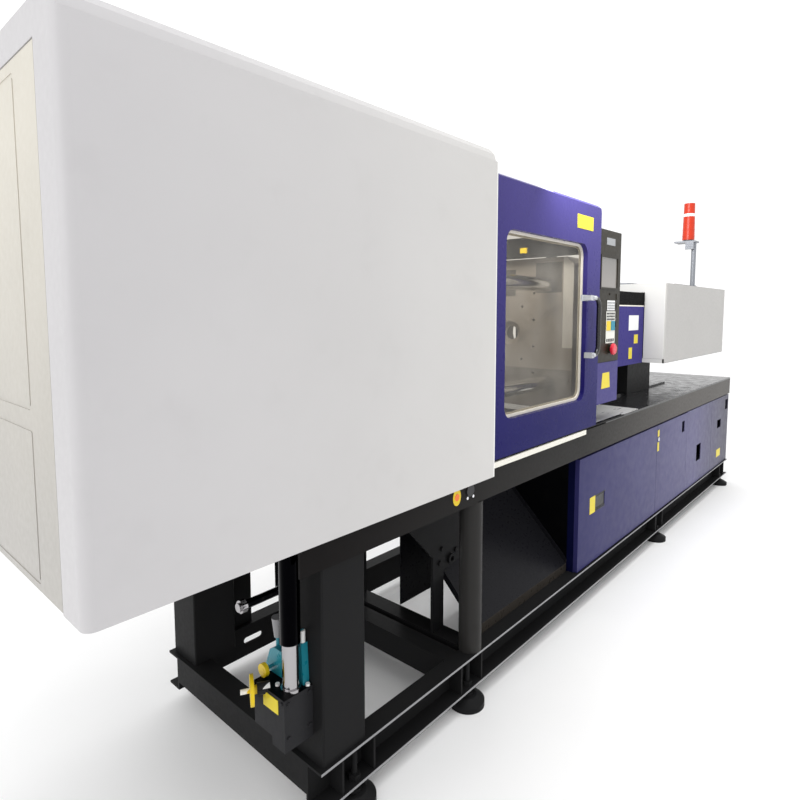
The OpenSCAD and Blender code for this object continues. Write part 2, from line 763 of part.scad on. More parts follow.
module moving_platen() placed() color([0.66, 0.68, 0.7]) {
    difference() {
        union() {
            end_plate(moving_x, moving_x + moving_t) platen_outline(40);
            // Ejector cylinder
            bar_x(moving_x - 120, moving_x + 1, 0, axis_z, 88);
            bar_x(moving_x - 12, moving_x + 1, 0, axis_z, 110);
        }
        mould_holes(moving_x + moving_t - 35, moving_x + moving_t + 1);
        bar_x(moving_x - 105, moving_x + moving_t + 1, 0, axis_z, ejector_d + 2 * run_gap);
        for (s = [-1, 1]) slab([moving_x - 1, s * 290 - 45, axis_z - 150],
            [moving_x + 80, s * 290 + 45, axis_z + 150]);
    }
    pivot_cheeks(joint_x, moving_x + 1, joint_x, 42, 92);
    // Skids that run above the main beams
    both_sides() {
        slab([moving_x + 20, -half_platen, beam_top + 0.5], [moving_x + 170, -300, platen_z1 + 60]);
        slab([moving_x + 20, -430, beam_top + 0.5], [moving_x + 170, -half_platen + 1, beam_top + 25]);
    }
}

module tie_bars() placed() color([0.8, 0.81, 0.83]) {
    for (s = [-1, 1], v = [-1, 1]) {
        y = s * tie_span_y / 2;
        z = axis_z + v * tie_span_z / 2;
        bar_x(rear_x - 75, fixed_x + fixed_t + 75, y, z, tie_bar_d);
        bar_x(rear_x - 60, rear_x, y, z, 1.6 * tie_bar_d);
        bar_x(fixed_x + fixed_t, fixed_x + fixed_t + 60, y, z, 1.6 * tie_bar_d);
    }
}

module ejector_rod() placed() color([0.85, 0.86, 0.88]) {
    bar_x(moving_x - 100, moving_x + moving_t - 4, 0, axis_z, ejector_d);
}

// Toggle links are drawn around the machine axis, the lower ones are mirrored
module above_axis() {
    translate([0, 0, axis_z]) children();
}

module below_axis() {
    translate([0, 0, axis_z]) mirror([0, 0, 1]) children();
}

// A link starts at the pin in the frame of this module and rises by the turn angle
module link_at(x, z, turn) {
    translate([x, 0, z]) rotate([0, -turn, 0]) children();
}

// A straight bar with round ends, from y1 to y2
module link_bar(l, r, y1, y2) {
    front_plate(y1, y2) {
        circle(r);
        translate([l, 0]) circle(r);
        translate([0, -r]) square([l, 2 * r]);
    }
}

// The rear link: turns on the rear platen, carries the knee pin and the drive pin
module rear_link() {
    link_at(pivot_x, pivot_z, knee_angle) {
        difference() {
            link_bar(link_l, link_r, -90, 90);
            // Fork around the front link
            slab([link_l - 120, -42, -link_r - 1], [link_l + 80, 42, link_r + 1]);
            bar_y(-91, 91, 0, 0, pin_d + 2 * run_gap);
        }
        bar_y(-90, 90, link_l, 0, pin_d);
        bar_y(-119, 119, drive_l, 0, drive_pin);
    }
}

// The front link between the knee and the moving platen
module front_link(end_gap) {
    link_at(knee_x, knee_z, -knee_angle) difference() {
        link_bar(link_l, link_r, -40, 40);
        bar_y(-41, 41, 0, 0, pin_d + 2 * run_gap);
        bar_y(-41, 41, link_l, 0, pin_d + 2 * end_gap);
    }
}

// The two plates of a drive link between the rear link and the crosshead
module drive_link(end_gap) {
    both_sides() link_at(drive_x, drive_z, -knee_angle) difference() {
        link_bar(drive_l, drive_r, -118, -93);
        bar_y(-119, -92, 0, 0, drive_pin + 2 * run_gap);
        bar_y(-119, -92, drive_l, 0, drive_pin + 2 * end_gap);
    }
}

module upper_rear_link() placed() color([0.5, 0.52, 0.54]) above_axis() rear_link();

module upper_front_link() placed() color([0.56, 0.57, 0.6]) above_axis() front_link(run_gap);

module upper_drive_link() placed() color([0.45, 0.46, 0.5]) above_axis() drive_link(run_gap);

module lower_rear_link() placed() color([0.5, 0.52, 0.54]) below_axis() rear_link();

module lower_front_link() placed() color([0.56, 0.57, 0.6]) below_axis() front_link(0.3);

module lower_drive_link() placed() color([0.45, 0.46, 0.5]) below_axis() drive_link(0.3);

module crosshead() placed() color([0.58, 0.6, 0.62]) {
    difference() {
        slab([head_x - 40, -205, axis_z - 35], [head_x + 40, 205, axis_z + 35]);
        for (s = [-1, 1])
            bar_x(head_x - 41, head_x + 41, s * guide_y, axis_z, guide_d + 2 * run_gap);
    }
    // Side arms with the pins of the drive links
    both_sides() {
        front_plate(-150, -120) {
            for (z = [-pivot_z, pivot_z]) translate([head_x, axis_z + z]) circle(drive_r);
            translate([head_x - drive_r, axis_z - pivot_z]) square([2 * drive_r, 2 * pivot_z]);
        }
        for (z = [-pivot_z, pivot_z]) bar_y(-121, -92, head_x, axis_z + z, drive_pin);
    }
    // Piston rod and piston
    bar_x(300, head_x - 39, 0, axis_z, rod_d);
    bar_x(290, 330, 0, axis_z, 100);
}

module clamp_cylinder() placed() color([0.3, 0.31, 0.33]) difference() {
    union() {
        bar_x(240, rear_x, 0, axis_z, 160);
        bar_x(240, 275, 0, axis_z, 210);
        bar_x(rear_x - 30, rear_x, 0, axis_z, 240);
        slab([300, -25, axis_z + 60], [350, 25, axis_z + 105]);
    }
    bar_x(268, 600, 0, axis_z, 100 + 2 * run_gap);
    bar_x(590, rear_x + 1, 0, axis_z, rod_d + 2 * run_gap);
}

module control_box() placed() color([0.2, 0.2, 0.21]) {
    difference() {
        slab([box_x, -box_y + panel_t, box_split], [box_x + box_w, -box_back, box_z]);
        bar_y(-box_y, -box_y + 34, stop_x, stop_z, 26);
        for (x = key_x) slab([x - 1, -box_y, key_z - 1], [x + key_w + 1, -box_y + 16, key_z + key_h + 1]);
    }
    color([0.3, 0.27, 0.56])
        slab([box_x, -box_y, box_bottom], [box_x + box_w, -box_back, box_split - 1]);
    slab([box_x + 2, -box_y + 6, box_split - 2], [box_x + box_w - 2, -box_back - 1, box_split + 1]);
    // Bracket to the fixed platen
    for (z = [axis_z - 100, axis_z + 260])
        slab([box_x, -box_back - 1, z], [fixed_x + fixed_t - 10, -half_platen, z + 40]);
}

// The front panel: screen cut-out, key fields, button collar
module control_panel() placed() color([0.26, 0.25, 0.25]) {
    difference() {
        union() {
            slab([box_x, -box_y, box_split + 1], [box_x + box_w, -box_y + panel_t, box_z]);
            color([0.9, 0.9, 0.88])
                slab([pad_x + 9, -box_y - 2, pad_z + 172], [pad_x + pad_w - 9, -box_y + 1, pad_z + 223]);
            color([0.9, 0.9, 0.88]) slab([pad_x, -box_y - 2, pad_z], [pad_x + pad_w, -box_y + 1, pad_z + 166]);
            bar_y(-box_y - 5, -box_y + 1, stop_x, stop_z, 46);
        }
        slab([screen_x, -box_y - 1, screen_z],
            [screen_x + screen_w, -box_y + panel_t + 1, screen_z + screen_h]);
        bar_y(-box_y - 6, -box_y + panel_t + 1, stop_x, stop_z, 22 + 2 * run_gap);
        for (x = key_x) slab([x, -box_y - 3, key_z], [x + key_w, -box_y + panel_t + 1, key_z + key_h]);
    }
    // Screen frame and the column of side keys
    difference() {
        slab([screen_x - 10, -box_y - 4, screen_z - 10],
            [screen_x + screen_w + 10, -box_y + 1, screen_z + screen_h + 10]);
        slab([screen_x, -box_y - 5, screen_z], [screen_x + screen_w, -box_y + 2, screen_z + screen_h]);
    }
    for (k = [0 : 3]) slab([pad_x + pad_w + 10, -box_y - 3, pad_z + 83 + 48 * k],
        [pad_x + pad_w + 26, -box_y + 1, pad_z + 115 + 48 * k]);
    bar_y(-box_y - 3, -box_y + 1, screen_x + 120, screen_z - 33, 12);
}

module screen() placed() color([0.5, 0.52, 0.54]) {
    slab([screen_x + key_gap, -box_y + 1, screen_z + key_gap],
        [screen_x + screen_w - key_gap, -box_y + panel_t, screen_z + screen_h - key_gap]);
}

// A push key in the panel cut-out that starts at x
module push_key(x) {
    slab([x + key_gap, -box_y - 5, key_z + key_gap],
        [x + key_w - key_gap, -box_y + 8, key_z + key_h - key_gap]);
}

module yellow_key() placed() color([0.88, 0.75, 0.1]) push_key(key_x[0]);

module teal_key() placed() color([0.15, 0.55, 0.6]) push_key(key_x[1]);

module estop_button() placed() color([0.84, 0.14, 0.2]) {
    translate([stop_x, -box_y - 28, stop_z]) rotate([-90, 0, 0])
        cylinder(d1 = 0.8 * stop_d, d2 = stop_d, h = 6);
    bar_y(-box_y - 22, -box_y - 13, stop_x, stop_z, stop_d);
    bar_y(-box_y - 14, -box_y + 20, stop_x, stop_z, 22);
}

module injection_cover() placed() color([0.85, 0.84, 0.82]) difference() {
    translate([0, 0, unit_z]) linear_extrude(unit_h)
        round_rect([unit_x, -unit_y], [unit_x + unit_l, unit_y], 14);
    translate([0, 0, unit_z - 1]) linear_extrude(unit_h + 1 - sheet_t)
        round_rect([unit_x + sheet_t, -unit_y + sheet_t], [unit_x + unit_l - sheet_t, unit_y - sheet_t], 10);
    // Opening at the barrel, and the hole for the feed throat
    slab([unit_x - 1, -guard_y - 3, unit_z - 1], [unit_x + sheet_t + 1, guard_y + 3, guard_z2 + 3]);
    slab([unit_x - 1, -unit_y + sheet_t, unit_z - 1], [unit_x + 15, unit_y - sheet_t, unit_z + 26]);
    slab([throat_x - 105, -105, unit_top - sheet_t - 1], [throat_x + 105, 105, unit_top + 1]);
    // Ventilation slots in the right end and seams of the front lid
    end_plate(unit_x + unit_l - sheet_t - 1, unit_x + unit_l + 1)
        for (y = [-180, 180], k = [0 : 5]) slot(y, 1300 + 40 * k, 180, 12);
}

// Hopper throat: a neck on the barrel housing with a drilled flange on top
module hopper_throat() placed() color([0.5, 0.51, 0.52]) difference() {
    union() {
        slab([throat_x - 75, -75, housing_z], [throat_x + 75, 75, unit_top + 1]);
        slab([throat_x - 120, -120, unit_top], [throat_x + 120, 120, unit_top + 10]);
    }
    bar_z(housing_z - 1, unit_top + 11, throat_x, 0, throat_d);
    for (s = [-1, 1], v = [-1, 1])
        bar_z(unit_top - 1, unit_top + 11, throat_x + hopper_half * s, hopper_half * v, 13);
}

module injection_carriage() placed() color([0.07, 0.07, 0.07]) {
    difference() {
        union() {
            slab([stand_x, -stand_y, table_z + 0.5], [stand_x + stand_l, stand_y, unit_z + 10]);
            // Tray that closes the cover from below, and the housing of the barrel
            translate([0, 0, unit_z - 3]) linear_extrude(28)
                round_rect([unit_x - 3, -unit_y + sheet_t], [unit_x + unit_l - sheet_t, unit_y - sheet_t], 14);
            slab([unit_x + 15, -150, unit_z], [barrel_end, 150, housing_z]);
        }
        // Grooves over the guide ways
        for (s = [-1, 1]) slab([stand_x - 1, s * (way_y + way_w / 2) - way_w / 2 - 1, table_z],
            [stand_x + stand_l + 1, s * (way_y + way_w / 2) + way_w / 2 + 1, table_z + way_h + 1]);
        bar_z(axis_z, housing_z + 1, throat_x, 0, feed_d);
        bar_x(unit_x, barrel_end + 1, 0, axis_z, barrel_d + 2 * run_gap);
    }
    // Guide shafts of the screw drive and the bearing plate behind it
    for (s = [-1, 1]) bar_x(barrel_end - 1, shaft_end, s * shaft_y, axis_z, shaft_d);
    slab([shaft_end - 10, -180, unit_z], [shaft_end + 20, 180, axis_z + 80]);
    // Fixed rear wall and end wall of the guard
    slab([guard_x + 10, guard_y - 8, guard_z1], [unit_x + 16, guard_y - 4, guard_z2 - 4]);
    difference() {
        slab([guard_x + 10, -guard_y + 38, guard_z1], [guard_x + 14, guard_y - 5, guard_z2 - 5]);
        bar_x(guard_x + 9, guard_x + 15, 0, axis_z, 2 * band_r + 30);
    }
}

// The barrel turned from one profile: nozzle, heater bands, bore for the screw
module barrel() placed() color([0.6, 0.58, 0.55]) difference() {
    translate([0, 0, axis_z]) rotate([0, 90, 0]) union() {
        translate([0, 0, nozzle_x]) cylinder(d1 = 24, d2 = nozzle_d, h = 30);
        translate([0, 0, nozzle_x + 30]) cylinder(d = nozzle_d, h = 180);
        translate([0, 0, nozzle_x + 210]) cylinder(d1 = nozzle_d, d2 = barrel_d, h = 70);
        translate([0, 0, barrel_x]) cylinder(d = barrel_d, h = barrel_end - barrel_x);
        for (k = [0 : 4]) translate([0, 0, barrel_x + 40 + 175 * k]) cylinder(r = band_r, h = 140);
    }
    bar_x(nozzle_x - 10, barrel_x + 31, 0, axis_z, 8);
    bar_x(barrel_x + 30, barrel_end + 1, 0, axis_z, screw_d + 2 * run_gap);
    bar_z(axis_z, axis_z + barrel_d, throat_x, 0, feed_d);
}

module screw() placed() color([0.75, 0.76, 0.78]) {
    bar_x(barrel_x + 90, spindle_x + 60, 0, axis_z, core_d);
    bar_x(barrel_end - 70, barrel_end + 40, 0, axis_z, screw_d);
    for (x = [barrel_x + 90 : 50 : barrel_end - 90]) bar_x(x, x + 6, 0, axis_z, screw_d);
    translate([barrel_x + 60, 0, axis_z]) rotate([0, 90, 0]) cylinder(d1 = 8, d2 = core_d, h = 31);
}

module screw_drive() placed() color([0.3, 0.32, 0.36]) difference() {
    union() {
        slab([spindle_x, -175, axis_z - 70], [spindle_x + 90, 175, axis_z + 70]);
        bar_x(spindle_x + 89, spindle_x + spindle_l, 0, axis_z, 200);
        bar_x(spindle_x + spindle_l - 1, spindle_x + spindle_l + 40, 0, axis_z, 120);
    }
    bar_x(spindle_x - 1, spindle_x + 62, 0, axis_z, core_d + 2 * run_gap);
    for (s = [-1, 1]) bar_x(spindle_x - 1, spindle_x + 91, s * shaft_y, axis_z, shaft_d + 2 * run_gap);
}

// The hinged lid of the purge guard: a dark top and band, a blue front
module purge_guard() placed() color([0.26, 0.24, 0.55]) {
    slab([guard_x, -guard_y, guard_z1], [guard_x + guard_l, -guard_y + 4, band_z + 1]);
    color([0.88, 0.87, 0.8])
        slab([guard_x, -guard_y, band_z], [guard_x + guard_l, -guard_y + 4, band_z + 9]);
    color([0.05, 0.05, 0.06])
        slab([guard_x, -guard_y, band_z + 8], [guard_x + guard_l, -guard_y + 4, guard_z2]);
    color([0.05, 0.05, 0.06]) slab([guard_x, -guard_y, guard_z2 - 4], [guard_x + guard_l, guard_y, guard_z2]);
    for (x = [guard_x, guard_x + guard_l - 4])
        slab([x, -guard_y, guard_z1], [x + 4, -guard_y + 30, guard_z2 - 1]);
}

module tower_stand() placed() color([0.75, 0.75, 0.76]) {
    bar_z(unit_top, unit_top + 8, post_x, -post_y, 50);
    bar_z(unit_top + 7, lamp_z1 - 11, post_x, -post_y, 35);
    slab([post_x - 46, -post_y - 18, lamp_z1 - 12], [post_x + 70, -post_y + 130, lamp_z1]);
    slab([post_x - 46, -post_y - 8, lamp_z1 - 64], [post_x - 19, -post_y + 50, lamp_z1 - 11]);
}

// The lamp: base, one tall lens that narrows to its flat top, with grooves and a white ring
module tower_lamp() placed() color([0.92, 0.27, 0.1]) translate([lamp_x, -lamp_y, lamp_z1]) {
    h = lamp_z2 - lamp_z1;
    cylinder(d = 0.8 * lamp_d, h = 15);
    translate([0, 0, 14]) cylinder(d1 = lamp_d, d2 = 0.88 * lamp_d, h = h - 14);
    color([0.9, 0.9, 0.88]) translate([0, 0, 0.66 * h]) cylinder(d = lamp_d - 4, h = 20);
    for (k = [0 : 2]) translate([0, 0, 40 + 48 * k]) cylinder(d = lamp_d + 1 - 2 * k, h = 5);
}

// The axis of the round knob, turned towards the operator
module at_knob() {
    translate([knob_x, -knob_y, knob_z]) rotate([0, 0, -knob_turn]) children();
}

module lube_block() placed() color([0.08, 0.08, 0.08]) {
    difference() {
        slab([lube_x, -399, lube_z1], [leg_x, -254, lube_z2]);
        slab([lube_x - 1, -340, lube_z1 - 1], [lube_x + 30, -253, lube_z1 + 25]);
    }
    // Bolt heads on the operator side and on the left face
    for (x = [lube_x + 14, leg_x - 14], z = [lube_z1 + 40, lube_z2 - 14]) bar_y(-404, -398, x, z, 12);
    for (y = [-388, -264]) bar_x(lube_x - 5, lube_x + 1, y, lube_z2 - 12, 12);
    // Boss that carries the knob, and two bolt heads on top
    at_knob() bar_x(14, 50, 0, 0, 34);
    for (p = [[548, -327], [606, -392]]) bar_z(lube_z2 - 1, lube_z2 + 7, p[0], p[1], 13);
}

module oil_pipes() placed() color([0.8, 0.8, 0.82]) {
    // Chrome tube and black sleeve of the lubrication pump
    bar_z(lube_z2, sleeve_z + 1, tube_x, -tube_y, tube_d);
    bar_z(lube_z2, lube_z2 + 10, tube_x, -tube_y, tube_d + 10);
    color([0.06, 0.06, 0.06]) bar_z(sleeve_z, beam_top - beam_wall - 4, tube_x, -tube_y, tube_d + 11);
    // Oil pipe to the valve housing with its union nut
    bar_x(625, 860, 0, 523, 30);
    bar_x(633, 652, 0, 523, 44);
    bar_x(846, 860, 0, 523, 50);
}

// The pump body is bolted to the leg and stands on the block, narrower towards its top
module lube_pump() placed() color([0.16, 0.55, 0.62]) {
    end_plate(tube_x + 11, leg_x)
        polygon([[-224, lube_z2], [-252, 506], [-272, 518], [-328, 518], [-328, lube_z2]]);
    end_plate(tube_x + 31, leg_x)
        polygon([[-327, lube_z2], [-327, 518], [-362, 540], [-378, 560], [-384, lube_z2]]);
    // Grey cap on its neck
    color([0.5, 0.5, 0.5]) bar_z(517, 546, 594, -270, 14);
    color([0.5, 0.5, 0.5]) translate([594, -270, 545]) cylinder(d1 = 24, d2 = 38, h = 60);
    // White fitting beside the tube
    color([0.9, 0.9, 0.88]) bar_z(540, 596, 607, -370, 16);
    // Small knob on its stem
    bar_x(549, tube_x + 12, -266, 461, 10);
    color([0.88, 0.75, 0.1]) bar_x(538, 550, -266, 461, 40);
}

module lube_knob() placed() color([0.88, 0.75, 0.1]) at_knob() {
    bar_x(-5, 5, 0, 0, 86);
    bar_x(4, 14, 0, 0, 24);
    color([0.9, 0.9, 0.88]) bar_x(-32, -4, 0, 0, 14);
}

base_frame();
upper_frame();
left_legs();
support_columns();
inner_supports();
discharge_chute();
leveling_feet();
table_top();
table_plate();
cabinet_shell();
cabinet_door_wide();
cabinet_door_narrow();
door_latch();
cabinet_lock();
oil_tank();
pump_motor();
clamp_cover();
end_panels();
fixed_platen();
moving_platen();
rear_platen();
tie_bars();
upper_rear_link();
upper_front_link();
lower_rear_link();
lower_front_link();
upper_drive_link();
lower_drive_link();
crosshead();
clamp_cylinder();
ejector_rod();
front_door();
front_window();
front_seal();
front_handle();
rear_door();
rear_window();
rear_handle();
door_header();
door_tracks();
door_sills();
control_box();
control_panel();
screen();
yellow_key();
teal_key();
estop_button();
injection_cover();
hopper_throat();
injection_carriage();
barrel();
screw();
screw_drive();
purge_guard();
tower_stand();
tower_lamp();
lube_block();
oil_pipes();
lube_pump();
lube_knob();
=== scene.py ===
# Injection moulding machine: materials, plates, small fittings, light and camera
import math

import bpy
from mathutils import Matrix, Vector


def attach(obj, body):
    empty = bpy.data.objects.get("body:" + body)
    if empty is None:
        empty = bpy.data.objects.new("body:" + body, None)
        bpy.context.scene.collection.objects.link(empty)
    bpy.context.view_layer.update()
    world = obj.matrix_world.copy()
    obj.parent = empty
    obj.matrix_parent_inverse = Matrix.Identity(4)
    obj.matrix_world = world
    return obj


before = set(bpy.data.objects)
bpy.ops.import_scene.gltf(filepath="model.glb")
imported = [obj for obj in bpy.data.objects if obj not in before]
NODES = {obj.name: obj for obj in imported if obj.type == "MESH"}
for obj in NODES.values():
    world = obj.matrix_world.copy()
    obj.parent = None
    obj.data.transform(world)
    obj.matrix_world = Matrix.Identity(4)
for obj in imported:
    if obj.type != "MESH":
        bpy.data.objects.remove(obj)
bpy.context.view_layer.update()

# Machine coordinates are in millimetres: X from the end face of the clamp cover, Y from the
# middle towards the rear, Z from the floor. The row frame starts half way along the machine.
HALF_LENGTH = 2650.0
ORIGIN = (HALF_LENGTH, 0.0, 0.0)
ALONG = 0
UP = 2


def metres(value, axis):
    """A machine coordinate on one axis, in metres in the row frame."""
    return (value - ORIGIN[axis]) / 1000


def point(*place):
    """A point given in machine coordinates, in metres in the row frame."""
    return Vector([metres(value, axis) for axis, value in enumerate(place)])


# Shader parts

NOISE_SPAN = (0.3, 0.7)
BROAD_SCALE = 2.3
DIRT_SCALE = 9.0
DIRT_DETAIL = 8.0
DIRT_SPAN = (0.58, 0.75)
SMEAR_SCALE = 5.0
FINE_DETAIL = 6.0
ROUGH_BELOW = 0.06
ROUGH_ABOVE = 0.08
SMOOTHEST = 0.02
BUMP_DEPTH = 0.001
COAT_ROUGHNESS = 0.1
GLASS_IOR = 1.45
GLASS_SHEEN = (0.05, 0.12)
DUST = (0.09, 0.08, 0.07)
OPEN = (None, None)


def set_inputs(shader_node, values):
    for name, value in values.items():
        shader_node.inputs[name].default_value = value


def new_material(name):
    """A node material with its tree, its shader and the place of each point in the row frame."""
    material = bpy.data.materials.new(name)
    material.use_nodes = True
    tree = material.node_tree
    where = tree.nodes.new("ShaderNodeTexCoord").outputs["Object"]
    return material, tree, tree.nodes["Principled BSDF"], where


def noise(tree, where, scale, detail=4.0):
    made = tree.nodes.new("ShaderNodeTexNoise")
    set_inputs(made, {"Scale": scale, "Detail": detail})
    tree.links.new(where, made.inputs["Vector"])
    return made.outputs["Fac"]


def map_range(tree, value, source, target=(0.0, 1.0)):
    """The value stretched from the source span to the target span, and held at its ends."""
    made = tree.nodes.new("ShaderNodeMapRange")
    set_inputs(made, dict(zip(("From Min", "From Max", "To Min", "To Max"), (*source, *target))))
    tree.links.new(value, made.inputs["Value"])
    return made.outputs["Result"]


def maths(tree, operation, *values):
    made = tree.nodes.new("ShaderNodeMath")
    made.operation = operation
    for k, value in enumerate(values):
        if isinstance(value, float):
            made.inputs[k].default_value = value
        else:
            tree.links.new(value, made.inputs[k])
    return made.outputs[0]


def mix(tree, factor, a, b):
    """Colour a where the factor is 0 and colour b where it is 1."""
    made = tree.nodes.new("ShaderNodeMix")
    made.data_type = "RGBA"
    for socket, kind, value in (("Factor", "VALUE", factor), ("A", "RGBA", a), ("B", "RGBA", b)):
        target = [i for i in made.inputs if i.name == socket and i.type == kind][0]
        if isinstance(value, tuple):
            target.default_value = (*value, 1.0)
        else:
            tree.links.new(value, target)
    return [o for o in made.outputs if o.type == "RGBA"][0]


def split_axes(tree, where):
    made = tree.nodes.new("ShaderNodeSeparateXYZ")
    tree.links.new(where, made.inputs[0])
    return made.outputs


def zone(colour, x=OPEN, y=OPEN, z=OPEN):
    """A box in machine coordinates that takes another colour; None leaves a side open."""
    return colour, (x, y, z)


def zone_mask(tree, where, spans):
    """1 inside the box that the three spans give, 0 outside."""
    sides = split_axes(tree, where)
    mask = None
    for axis, span in enumerate(spans):
        for value, operation in zip(span, ("GREATER_THAN", "LESS_THAN")):
            if value is None:
                continue
            test = maths(tree, operation, sides[axis], metres(value, axis))
            mask = test if mask is None else maths(tree, "MULTIPLY", mask, test)
    return mask


def finish(name, colour, rough=0.4, metal=0.0, coat=0.0, gloss=0.5, ior=1.5, grain=60.0, bump=0.05,
           vary=0.12, dirt=0.15, soil=DUST, stretch=(1.0, 1.0, 1.0), fades=(), zones=(), glow=0.0):
    """A painted or metal surface: a colour that varies slightly, dirt in patches, rough
    patches and a fine bump. A fade blends to a colour along an axis, given as
    (axis, low, high, colour)."""
    material, tree, shader, where = new_material(name)
    scaled = tree.nodes.new("ShaderNodeMapping")
    scaled.inputs["Scale"].default_value = stretch
    tree.links.new(where, scaled.inputs["Vector"])
    where_scaled = scaled.outputs["Vector"]
    broad = noise(tree, where_scaled, BROAD_SCALE)
    fine = noise(tree, where_scaled, grain, FINE_DETAIL)

    surface = colour
    for axis, low, high, other in fades:
        ramp = map_range(tree, split_axes(tree, where)[axis], (metres(low, axis), metres(high, axis)))
        surface = mix(tree, ramp, surface, other)
    for other, spans in zones:
        surface = mix(tree, zone_mask(tree, where, spans), surface, other)

    # Slight variation over broad patches
    shade = tree.nodes.new("ShaderNodeHueSaturation")
    lightness = map_range(tree, broad, NOISE_SPAN, (1.0 + vary / 2, 1.0 - vary / 2))
    tree.links.new(lightness, shade.inputs["Value"])
    if isinstance(surface, tuple):
        shade.inputs["Color"].default_value = (*surface, 1.0)
    else:
        tree.links.new(surface, shade.inputs["Color"])

    # Dirt and worn patches
    patches = noise(tree, where_scaled, DIRT_SCALE, DIRT_DETAIL)
    soiled = map_range(tree, patches, DIRT_SPAN, (0.0, dirt))
    surface = mix(tree, soiled, shade.outputs["Color"], soil)
    tree.links.new(surface, shader.inputs["Base Color"])

    # Roughness and bump
    rough_span = (max(rough - ROUGH_BELOW, SMOOTHEST), min(rough + ROUGH_ABOVE, 1.0))
    tree.links.new(map_range(tree, fine, NOISE_SPAN, rough_span), shader.inputs["Roughness"])
    raised = tree.nodes.new("ShaderNodeBump")
    set_inputs(raised, {"Strength": bump, "Distance": BUMP_DEPTH})
    tree.links.new(fine, raised.inputs["Height"])
    tree.links.new(raised.outputs["Normal"], shader.inputs["Normal"])
    set_inputs(shader, {"Metallic": metal, "Specular IOR Level": gloss, "IOR": ior,
                        "Coat Weight": coat, "Coat Roughness": COAT_ROUGHNESS})
    if glow:
        tree.links.new(surface, shader.inputs["Emission Color"])
        shader.inputs["Emission Strength"].default_value = glow
    return material


def clear(name, tint, rough):
    """Clear glazing with faint smears."""
    material, tree, shader, where = new_material(name)
    smear = noise(tree, where, SMEAR_SCALE, FINE_DETAIL)
    set_inputs(shader, {"Base Color": (*tint, 1.0), "IOR": GLASS_IOR})
    rough_span = (rough, rough + ROUGH_BELOW)
    tree.links.new(map_range(tree, smear, NOISE_SPAN, rough_span), shader.inputs["Roughness"])
    through = tree.nodes.new("ShaderNodeBsdfTransparent")
    through.inputs["Color"].default_value = (*tint, 1.0)
    both = tree.nodes.new("ShaderNodeMixShader")
    tree.links.new(map_range(tree, smear, NOISE_SPAN, GLASS_SHEEN), both.inputs["Fac"])
    tree.links.new(through.outputs[0], both.inputs[1])
    tree.links.new(shader.outputs[0], both.inputs[2])
    tree.links.new(both.outputs[0], tree.nodes["Material Output"].inputs["Surface"])
    return material


# Colours

BLACK = (0.0015, 0.0015, 0.002)
CREAM = (0.80, 0.77, 0.68)
WHITE = (0.82, 0.82, 0.81)
YELLOW = (0.74, 0.53, 0.01)
PLATE_YELLOW = (0.70, 0.57, 0.03)
UNIT_WHITE = (0.41, 0.40, 0.385)
# Lighter colour for the left ends of the unit and carriage tray: painted light from the left
UNIT_END_PAINTED_LIGHT = (0.54, 0.535, 0.52)
ORANGE = (0.85, 0.16, 0.005)
SOOT = (0.014, 0.013, 0.012)
# Painted highlight for the flange edges of the front rail
RAIL_EDGE_HIGHLIGHT = (0.30, 0.30, 0.31)
CONTROL_GREY = (0.017, 0.014, 0.008)
HOUSING = (0.11, 0.10, 0.09)

# Places that paint zones share
RAIL_FRONT = (None, -454.5)
CABINET_LEFT = (None, 2267)
PLATEN_FACE = (2329, 2331)

# Frame and cabinet
frame_paint = finish(
    "frame_paint", (0.014, 0.014, 0.0145), 0.36, gloss=0.08, ior=1.3, dirt=0.4, soil=SOOT, bump=0.12,
    zones=[
        # Painted highlights on the lit upper and lower flange edges of the front rail, then the end of the
        # carriage tray painted lighter like the end of the unit, as painted light from the left
        zone(RAIL_EDGE_HIGHLIGHT, x=(600, None), y=RAIL_FRONT, z=(191.5, 200.5)),
        zone(RAIL_EDGE_HIGHLIGHT, x=(600, None), y=RAIL_FRONT, z=(69, 78.5)),
        zone(UNIT_END_PAINTED_LIGHT, x=(3701, 3702.6), z=(1161, 1191))])
block_paint = finish(
    "block_paint", (0.024, 0.024, 0.026), 0.36, gloss=0.12, ior=1.3, dirt=0.2, soil=SOOT,
    zones=[
        # Top face, then the bolt heads on it
        zone(BLACK, z=(437.5, 438.5)),
        zone(WHITE, y=(None, -310), z=(438.5, None))])
chute_paint = finish(
    "chute_paint", (0.009, 0.009, 0.011), 0.3, gloss=0.12, ior=1.4, dirt=0.2, soil=SOOT,
    zones=[
        # Front lip, then the upper part painted lighter as a painted highlight
        zone((0.030, 0.026, 0.022), y=(None, -389.5)),
        zone((0.06, 0.06, 0.065), z=(655, None))])
beam_paint = finish(
    "beam_paint", (0.007, 0.006, 0.006), 0.36, gloss=0.12, ior=1.3, dirt=0.2, soil=SOOT,
    # Lighter towards the right end: painted light along the beam
    fades=[(ALONG, 600, 1900, (0.018, 0.017, 0.016)), (ALONG, 2300, 4000, (0.085, 0.079, 0.073))],
    # Inside of and between the two long beams, painted black as painted shade
    zones=[zone(BLACK, y=(-442, 442))])
column_paint = finish("column_paint", (0.026, 0.025, 0.024), 0.34, gloss=0.2, ior=1.35, dirt=0.2, soil=SOOT)
table_paint = finish(
    "table_paint", (0.016, 0.016, 0.017), 0.2, gloss=0.4, ior=1.4, dirt=0.03, grain=15.0, bump=0.02)
bright_plate = finish(
    "bright_plate", (0.78, 0.78, 0.76), 0.32, metal=0.5, dirt=0.1, stretch=(0.1, 1, 1))
